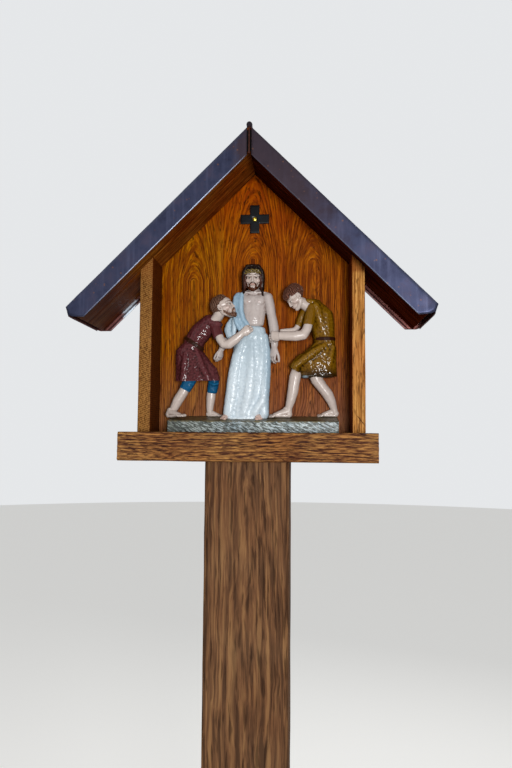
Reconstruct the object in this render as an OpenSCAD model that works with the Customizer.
// Wayside shrine: an open oak box with a gabled copper roof on a post, and a carved group of three
// figures inside. The origin is the middle of the post's foot on the ground, and the open front
// faces -Y.

/* [Post] */
// Height of the post above the ground
post_h = 1500; // [800:10:2200]
// Width of each side of the square post
post_w = 140; // [90:1:160]
// Chamfer along the upright corners of the post
post_chamfer = 6; // [2:0.5:15]

/* [Shelf] */
// Length of the shelf from side to side
shelf_w = 429; // [420:1:600]
// Thickness of the shelf
shelf_t = 48; // [25:1:80]
// How far the shelf stands out in front of the walls
shelf_front = 70; // [40:1:120]
// How far the shelf stands out behind the back boards
shelf_back = 4; // [2:1:40]
// Rounding of the shelf's front edges
shelf_round = 4; // [1:0.5:8]

/* [Box] */
// Width over both side walls
box_w = 400; // [390:1:415]
// Thickness of a side wall
wall_t = 23; // [15:1:30]
// Height of a side wall at its outer face
wall_h = 292; // [285:1:360]
// Depth of the niche from the wall fronts to the back boards
niche_d = 72; // [62:1:120]
// Thickness of the back boards
back_t = 22; // [12:1:35]

/* [Roof] */
// Pitch of both roof slopes in degrees
pitch = 45; // [42:1:55]
// Thickness of the roof boards
roof_board_t = 24; // [15:1:35]
// How far the roof boards reach out past the side walls
eave_reach = 113; // [60:1:150]
// How far the roof boards reach out in front of the walls
roof_front = 57; // [30:1:90]
// How far the roof boards reach out behind the back boards
roof_back = 4; // [2:1:30]
// Distance from the wall fronts back to the joint of the two boards of a slope
board_joint = 5; // [1:1:40]

/* [Copper] */
// Thickness of the copper sheet
sheet_t = 1; // [0.6:0.1:2]
// How far the verges hang below the roof boards
verge_drop = 10; // [7:0.5:20]
// Height of the folded hem along a verge
hem_h = 6; // [3:0.5:7]
// How far the drip edge leans inwards
drip_lean = 4.5; // [0:0.5:6]
// Radius of the ridge roll
ridge_r = 5; // [3:0.5:9]
// Width of the upright seam below the ridge
seam_w = 7; // [4:0.5:12]

/* [Cross] */
// Length of both bars of the cross
cross_w = 54; // [36:1:80]
// Width of a bar
cross_bar = 17.5; // [12:0.5:22]
// Thickness of the cross
cross_t = 5; // [3.5:0.5:10]
// How far the middle of the cross hangs below the peak of the niche
cross_drop = 88; // [72:1:102]
// Diameter of the screw's head
screw_head_d = 8.5; // [7:0.5:11]
// Diameter of the screw's shank
screw_d = 4; // [3:0.5:5]
// How deep the screw goes into the back board
screw_depth = 15; // [6:1:18]

/* [Carving] */
// Width of the carved ground under the figures
plinth_w = 305; // [300:1:340]
// How far the carved ground sits to the right of the middle
plinth_shift = 2.5; // [0:0.5:8]
// Depth of the carved ground
plinth_d = 55; // [50:1:60]
// Height of the ground at its front edge
plinth_front_h = 21; // [12:0.5:24]
// Height of the ground at its back edge
plinth_back_h = 31; // [26:0.5:34]
// Height of the middle figure above the ground's front edge
figure_h = 290; // [270:1:295]
// Free space left behind the figures
touch_gap = 0.3; // [0.2:0.1:1]

/* [Hidden] */

// Plan: the shelf is centred on the post
shelf_d = shelf_front + niche_d + back_t + shelf_back;
shelf_top = post_h + shelf_t;
wall_y = -shelf_d / 2 + shelf_front;
panel_y = wall_y + niche_d;
roof_y0 = wall_y - roof_front;
roof_y1 = panel_y + back_t + roof_back;
roof_joint_y = wall_y + board_joint;
inner_w = box_w - 2 * wall_t;
board_w = inner_w / 3;

// Section of the roof: s runs down a slope from the ridge, n stands square to it
rise = tan(pitch);
under_apex = wall_h + rise * box_w / 2;
slope_len = (box_w / 2 + eave_reach - roof_board_t * sin(pitch)) / cos(pitch);
function under_z(x) = under_apex - rise * abs(x);
function roof_point(s, n) = [s * cos(pitch) + n * sin(pitch), under_apex - s * sin(pitch) + n * cos(pitch)];
function ridge_point(n) = [0, under_apex + n / cos(pitch)];
top_n = roof_board_t + sheet_t;
eave_z = roof_point(slope_len, 0)[1];
eave_tip = roof_point(slope_len + sheet_t, top_n);
drip_end = [eave_tip[0] - drip_lean, eave_z];
verge_end = [(under_apex - verge_drop / cos(pitch) - eave_z) / rise, eave_z];

cross_z = under_apex - cross_drop;
screw_clear = 0.1;
ground_y = panel_y - plinth_d;

// Draws a profile of the X-Z plane from y0 to y1, at heights above the shelf
module across(y0, y1) {
    translate([0, y1, shelf_top]) rotate([90, 0, 0]) linear_extrude(y1 - y0) children();
}

// Repeats on the left what is drawn on the right
module left_side() {
    mirror([1, 0, 0]) children();
}

// Post and shelf

module post() {
    w = post_w / 2;
    c = w - post_chamfer;
    color("#7b6a62") linear_extrude(post_h)
        polygon([[c, -w], [w, -c], [w, c], [c, w], [-c, w], [-w, c], [-w, -c], [-c, -w]]);
}

module shelf() {
    r = shelf_round;
    d = shelf_d / 2;
    color("#8a5a36") translate([-shelf_w / 2, 0, post_h]) rotate([90, 0, 90]) linear_extrude(shelf_w)
        union() {
            polygon([[d, 0], [d, shelf_t], [-d + r, shelf_t], [-d, shelf_t - r], [-d, r], [-d + r, 0]]);
            translate([-d + r, r]) circle(r, $fn = 32);
            translate([-d + r, shelf_t - r]) circle(r, $fn = 32);
        }
}

// Walls and back of the box

module wall() {
    x0 = inner_w / 2;
    x1 = box_w / 2;
    color("#a8713a") across(wall_y, panel_y + back_t)
        polygon([[x0, 0], [x1, 0], [x1, under_z(x1)], [x0, under_z(x0)]]);
}

module side_back_board() {
    x0 = board_w / 2;
    x1 = inner_w / 2;
    color("#8f4d0e") across(panel_y, panel_y + back_t)
        polygon([[x0, 0], [x1, 0], [x1, under_z(x1)], [x0, under_z(x0)]]);
}

module back_board_middle() {
    x = board_w / 2;
    color("#9a5410") difference() {
        across(panel_y, panel_y + back_t)
            polygon([[-x, 0], [x, 0], [x, under_z(x)], [0, under_apex], [-x, under_z(x)]]);
        screw_hole(panel_y - 1, panel_y + screw_depth + 1);
    }
}

// Round hole along Y on the screw's axis
module screw_hole(y0, y1) {
    translate([0, y1, shelf_top + cross_z]) rotate([90, 0, 0])
        cylinder(h = y1 - y0, d = screw_d + 2 * screw_clear, $fn = 32);
}

// Roof boards and copper

module roof_board(y0, y1) {
    color("#7a3f1a") across(y0, y1)
        polygon([ridge_point(0), roof_point(slope_len, 0), roof_point(slope_len, roof_board_t),
                 ridge_point(roof_board_t)]);
}

// One folded sheet: the slope with its drip edge, the front and back verges and their hems
module copper_sheet() {
    color("#55546e") union() {
        across(roof_y0 - sheet_t, roof_y1 + sheet_t)
            polygon([ridge_point(roof_board_t), ridge_point(top_n), eave_tip, drip_end,
                     drip_end - [sheet_t, 0], roof_point(slope_len + sheet_t, roof_board_t)]);
        verge(roof_y0 - sheet_t, roof_y0);
        verge(roof_y1, roof_y1 + sheet_t);
        hem(roof_y0 - sheet_t / 2, roof_y0 + sheet_t);
        hem(roof_y1 - sheet_t, roof_y1 + sheet_t / 2);
    }
}

module verge(y0, y1) {
    across(y0, y1)
        polygon([ridge_point(-verge_drop), verge_end, drip_end, eave_tip, ridge_point(top_n)]);
}

module hem(y0, y1) {
    hem_end = [(under_apex - (verge_drop - hem_h) / cos(pitch) - eave_z) / rise, eave_z];
    across(y0, y1)
        polygon([ridge_point(-verge_drop), verge_end, hem_end, ridge_point(hem_h - verge_drop)]);
}

// Strip that covers the joint of the two front verges
module apex_seam() {
    w = seam_w / 2;
    lower = ridge_point(-verge_drop)[1];
    upper = ridge_point(top_n)[1];
    color("#4a4050") across(roof_y0 - 2 * sheet_t, roof_y0 - sheet_t)
        polygon([[0, lower], [w, lower - w * rise], [w, upper - w * rise], [0, upper],
                 [-w, upper - w * rise], [-w, lower - w * rise]]);
}

// Roll that rests on both sheets along the ridge
module ridge_roll() {
    upper = ridge_point(top_n)[1];
    reach = 2 * ridge_r;
    color("#6a6880") difference() {
        across(roof_y0 - sheet_t, roof_y1 + sheet_t)
            translate([0, upper + ridge_r / 5]) circle(ridge_r, $fn = 48);
        across(roof_y0 - 2 * sheet_t, roof_y1 + 2 * sheet_t)
            polygon([[0, upper], [reach, upper - reach * rise], [-reach, upper - reach * rise]]);
    }
}

// Cross and its screw

module gable_cross() {
    l = cross_w / 2;
    b = cross_bar / 2;
    countersink = (screw_head_d - screw_d) / 2;
    color("#0a1018") difference() {
        across(panel_y - cross_t, panel_y) translate([0, cross_z]) {
            square([2 * l, 2 * b], center = true);
            square([2 * b, 2 * l], center = true);
        }
        screw_hole(panel_y - cross_t - 1, panel_y + 1);
        translate([0, panel_y - cross_t + countersink, shelf_top + cross_z]) rotate([90, 0, 0])
            cylinder(h = countersink, d1 = screw_d + 2 * screw_clear,
                     d2 = screw_head_d + 2 * screw_clear, $fn = 32);
    }
}

module cross_screw() {
    countersink = (screw_head_d - screw_d) / 2;
    color("#c8b840") translate([0, panel_y - cross_t, shelf_top + cross_z]) rotate([90, 0, 0]) {
        translate([0, 0, -countersink]) cylinder(h = countersink, d1 = screw_d, d2 = screw_head_d, $fn = 32);
        translate([0, 0, -cross_t - screw_depth]) cylinder(h = cross_t + screw_depth, d = screw_d, $fn = 32);
        cylinder(h = 0.8, d1 = screw_head_d, d2 = screw_head_d - 2, $fn = 32);
    }
}

// Carved group: x from the middle, y back from the front edge of the ground, z above the shelf

module in_group() {
    translate([0, ground_y, shelf_top]) children();
}

module ground_profile(x0, x1, drop) {
    translate([x0, 0, -drop]) rotate([90, 0, 90]) linear_extrude(x1 - x0)
        polygon([[0, 0], [plinth_d, 0], [plinth_d, plinth_back_h + drop], [0, plinth_front_h + drop]]);
}

module carved_ground() {
    color("#5f6a68") in_group() ground_profile(plinth_shift - plinth_w / 2, plinth_shift + plinth_w / 2, 0);
}

// Figures are drawn with z above the sloping ground, at the height that figure_h gives them
module on_ground() {
    k = figure_h / 290;
    slope = (plinth_back_h - plinth_front_h) / plinth_d;
    multmatrix([[k, 0, 0, 0], [0, k, 0, 0], [0, slope * k, k, plinth_front_h], [0, 0, 0, 1]]) children();
}

module ball(p, r) {
    translate(p) scale(r) sphere(1, $fn = 14);
}

// Skin over two rounded ends, each given as [place, half sizes]
module limb(a, b) {
    hull() {
        ball(a[0], a[1]);
        ball(b[0], b[1]);
    }
}

// Limbs along a row of rounded places
module chain(places) {
    for (i = [0 : len(places) - 2]) limb(places[i], places[i + 1]);
}

// Keeps what is drawn above the ground and in front of the back boards
module above_ground() {
    difference() {
        on_ground() children();
        ground_profile(-plinth_w, plinth_w, 20);
        translate([-plinth_w, plinth_d - touch_gap, 0]) cube([2 * plinth_w, plinth_d, 2 * plinth_w]);
    }
}

module central_figure() {
    in_group() above_ground() {
        color("#d4e2ea") {
            chain([[[-12, 37, 5.5], [39.5, 16, 8]], [[-12, 37, 20.5], [38, 16, 10]],
                   [[-10.5, 36, 50.5], [36, 16, 10]], [[-6.5, 35, 77.5], [36.5, 16, 10]],
                   [[-4, 34, 108], [37, 16, 10]], [[-4, 34, 126], [35, 16, 10]],
                   [[-4, 33, 145], [31, 15, 10]], [[-3, 33, 163], [27, 14, 8]]]);
            limb([[-4, 34, 169], [23, 13, 7]], [[-17, 33, 219], [17, 12, 14]]);
            chain([[[-24, 33, 223], [13.5, 11.5, 12]], [[-24, 34, 199], [10.5, 10, 10]],
                   [[-42, 33, 169], [13.5, 10.5, 11]], [[-41, 32, 155], [13, 9.5, 11]]]);
        }
        color("#c8a898") {
            chain([[[-1, 33, 176], [22, 12.5, 8]], [[0, 33, 201], [24.5, 14, 14]],
                   [[1, 33, 219], [27, 13, 11]]]);
            limb([[1, 32, 227], [11, 10, 9]], [[1, 29, 241.5], [9.5, 10, 8]]);
            chain([[[26, 31, 219.5], [9.5, 11, 9.5]], [[31, 30, 199.5], [9.5, 9, 10]],
                   [[35, 29, 183.5], [9.5, 8.5, 10]], [[39.5, 28, 164], [8.3, 7.5, 9]],
                   [[39.5, 27, 137], [7.5, 6.5, 8]], [[38.5, 27, 124], [10, 5.5, 8]],
                   [[36, 27, 113], [9.5, 5.5, 9]], [[33.5, 27, 104], [6, 4.5, 7]]]);
            chain([[[-50, 32, 143], [6.5, 6.5, 8]], [[-57.5, 31, 126.5], [5.5, 5.5, 5]],
                   [[-62.5, 30, 117.5], [7.5, 5, 8]], [[-62.5, 29, 108.5], [5.5, 4, 6]]]);
            limb([[-50, 18, 4], [8.5, 8, 6]], [[-46, 29, 6.5], [8, 9, 7]]);
            limb([[13.5, 18, 4], [8.5, 8, 6]], [[12, 29, 6.5], [8, 9, 7]]);
            ball([1, 28, 255], [14.5, 15.5, 20]);
        }
        color("#1a0f0c") {
            ball([-2, 31, 264.5], [19.5, 17.5, 20.5]);
            chain([[[-13, 33, 256], [8.5, 12.5, 8]], [[-16.5, 34, 245], [7.5, 12, 8]],
                   [[-17, 35, 238.5], [6.5, 9, 5]]]);
            chain([[[10, 33, 256], [8, 12.5, 8]], [[13, 34, 243], [6.5, 12, 9]],
                   [[15, 34, 233], [7, 9, 6]]]);
            ball([1, 20, 241], [10, 9, 9]);
        }
    }
}

// Ring of thorns, a band round the head above the brow
module thorn_crown() {
    color("#2a1a10") in_group() on_ground() translate([-2, 31, 267.4]) scale([1, 0.9, 1]) difference() {
        cylinder(h = 11, r = 22.5, center = true, $fn = 40);
        cylinder(h = 13, r = 19.9, center = true, $fn = 40);
    }
}

module left_figure() {
    in_group() above_ground() {
        color("#4a2028") {
            chain([[[-80, 30, 174.5], [19, 14, 18]], [[-97, 32, 157], [21.5, 15, 20]],
                   [[-109, 33, 139], [21.5, 15, 14]], [[-118, 33, 122], [27, 16, 9]],
                   [[-112, 33, 106], [33.5, 17, 8]], [[-104, 33, 89], [41, 18, 8]],
                   [[-101.5, 33, 72], [43.5, 18.5, 6]]]);
            limb([[-68, 22, 169], [10, 9, 10]], [[-63, 16, 152], [9.5, 9, 8.5]]);
        }
        color("#1c4a78") {
            limb([[-114, 27, 72], [14, 10, 10]], [[-122, 24, 53.5], [11.5, 9.5, 9.5]]);
            limb([[-72, 41, 69.5], [10.5, 10, 9]], [[-76, 43, 52], [10, 9, 7.5]]);
        }
        color("#c8a898") {
            chain([[[-124, 23, 51], [10, 9, 9]], [[-134, 23, 37], [9.5, 8.5, 9]],
                   [[-144, 24, 18.5], [8.5, 8, 8]], [[-148, 24.5, 10.5], [8, 8, 7]]]);
            chain([[[-151, 25, 5.5], [8, 7.5, 7]], [[-138, 18, 5], [8, 7.5, 7]],
                   [[-123, 11, 3.5], [6.5, 6.5, 4.5]]]);
            chain([[[-77, 44, 49], [9, 8, 8]], [[-79.5, 45, 31], [8, 7.5, 9]],
                   [[-80, 45, 15], [7.5, 7, 7]]]);
            chain([[[-81, 46, 4.5], [8, 7, 6]], [[-72, 46, 4], [7.5, 7, 6]],
                   [[-63.5, 47, 2.5], [5, 6, 4]]]);
            chain([[[-61, 15, 148.5], [8.5, 8, 8.5]], [[-48, 12, 136], [9, 8, 9]],
                   [[-34, 10, 141], [7.5, 7, 7.5]], [[-17, 9.5, 156.5], [6.5, 6.5, 6.5]]]);
            ball([-10.5, 10.3, 160], [9.5, 7, 9.5]);
            limb([[-71, 26, 179.5], [11, 11, 10]], [[-60, 16, 196], [10, 10, 9]]);
            ball([-52, 13.5, 205.5], [16, 11, 15.5]);
        }
        color("#5c3a2c") {
            ball([-61, 14, 210.5], [18, 12.5, 16.5]);
            ball([-41, 13, 196], [10, 8.5, 8]);
        }
        color("#24120e") {
            limb([[-109, 33, 137], [22.5, 15.7, 6]], [[-107, 33, 133], [22, 15.7, 6]]);
        }
    }
}

module right_figure() {
    in_group() above_ground() {
        color("#5f4a0c") {
            chain([[[115, 33, 203], [16, 14, 15.5]], [[127, 34, 187], [22, 16, 18]],
                   [[128, 34, 168], [22.5, 16, 14]], [[130, 34, 150], [21, 15, 12]],
                   [[131, 34, 137], [20.5, 14.5, 8]], [[127, 34, 127], [26, 15.5, 6.5]],
                   [[120, 33, 115], [33.5, 16, 7]], [[114, 32, 100], [40, 16.5, 8]],
                   [[121, 33, 84], [33, 16.5, 6]]]);
            limb([[106, 32, 107], [30, 15, 10]], [[77, 31, 98.5], [10, 12, 7]]);
            chain([[[106, 22, 199], [10, 9, 9]], [[104, 18, 183.5], [10, 9, 9]],
                   [[101.5, 16, 171], [9.5, 8.5, 7.5]]]);
            limb([[92, 39, 193], [8.5, 8, 9]], [[86.5, 39, 177], [7.5, 8, 7.5]]);
            limb([[95, 38, 78], [9.5, 11, 8]], [[139, 38, 76], [12.5, 12, 8.5]]);
        }
        color("#2e1410") {
            limb([[131, 34, 142], [20.3, 15.6, 5]], [[131, 34, 139], [20.8, 15.6, 5]]);
        }
        color("#c8a898") {
            chain([[[100, 16, 167], [8.5, 8, 8]], [[93, 14, 151.5], [9.5, 8, 9.5]],
                   [[62, 11, 150.5], [7, 6.5, 7.5]], [[50, 12, 151.5], [6, 6.5, 7.5]]]);
            limb([[43.5, 13.5, 151], [9.5, 6.8, 8.7]], [[41, 13.5, 151], [9, 6.8, 8.7]]);
            chain([[[83, 38, 169], [6, 6, 7]], [[77, 36, 161], [5, 5.5, 5]], [[53, 34, 160], [4, 4.5, 4]]]);
            chain([[[78, 33, 85], [11.5, 10, 10]], [[76, 33, 71], [11.5, 10, 10]],
                   [[74.5, 34, 58], [10, 9, 10]], [[71, 34, 39], [9.7, 8.5, 10]],
                   [[66, 34, 23], [7.3, 7, 8]], [[63, 34, 14], [7.7, 7, 6]]]);
            chain([[[63.5, 35, 5], [7, 7, 6.5]], [[52, 35, 5], [7.5, 7, 6.5]], [[41, 35, 4], [7, 7, 5]],
                   [[34, 35, 3], [5.5, 6.5, 4]]]);
            chain([[[114, 37, 78.5], [12, 10.5, 10]], [[119, 38, 64], [12, 10.5, 10]],
                   [[134, 40, 47.5], [10.5, 9.5, 10]], [[143, 42, 30.5], [8.5, 8, 9]],
                   [[147, 43, 17], [8, 7.5, 8]]]);
            chain([[[150, 46, 6.5], [7.8, 7, 7]], [[138, 46, 6], [8, 7, 6.5]],
                   [[126, 47, 4.5], [6.5, 6.5, 4.5]], [[121, 47, 3.5], [5, 6, 3.5]]]);
            limb([[84, 25, 212.5], [10, 9.5, 11]], [[99, 30, 204.5], [11, 10.5, 12]]);
            ball([72, 21.5, 213], [14, 12, 15]);
        }
        color("#4a241c") {
            ball([73, 22.5, 226.5], [20.5, 15, 18]);
        }
    }
}

post();
shelf();
left_side() wall();  // wall_left
wall();  // wall_right
left_side() side_back_board();  // back_board_left
back_board_middle();
side_back_board();  // back_board_right
left_side() roof_board(roof_y0, roof_joint_y);  // roof_board_left_front
left_side() roof_board(roof_joint_y, roof_y1);  // roof_board_left_back
roof_board(roof_y0, roof_joint_y);  // roof_board_right_front
roof_board(roof_joint_y, roof_y1);  // roof_board_right_back
left_side() copper_sheet();  // copper_left
copper_sheet();  // copper_right
apex_seam();
ridge_roll();
gable_cross();
cross_screw();
carved_ground();
central_figure();
left_figure();
right_figure();
thorn_crown();
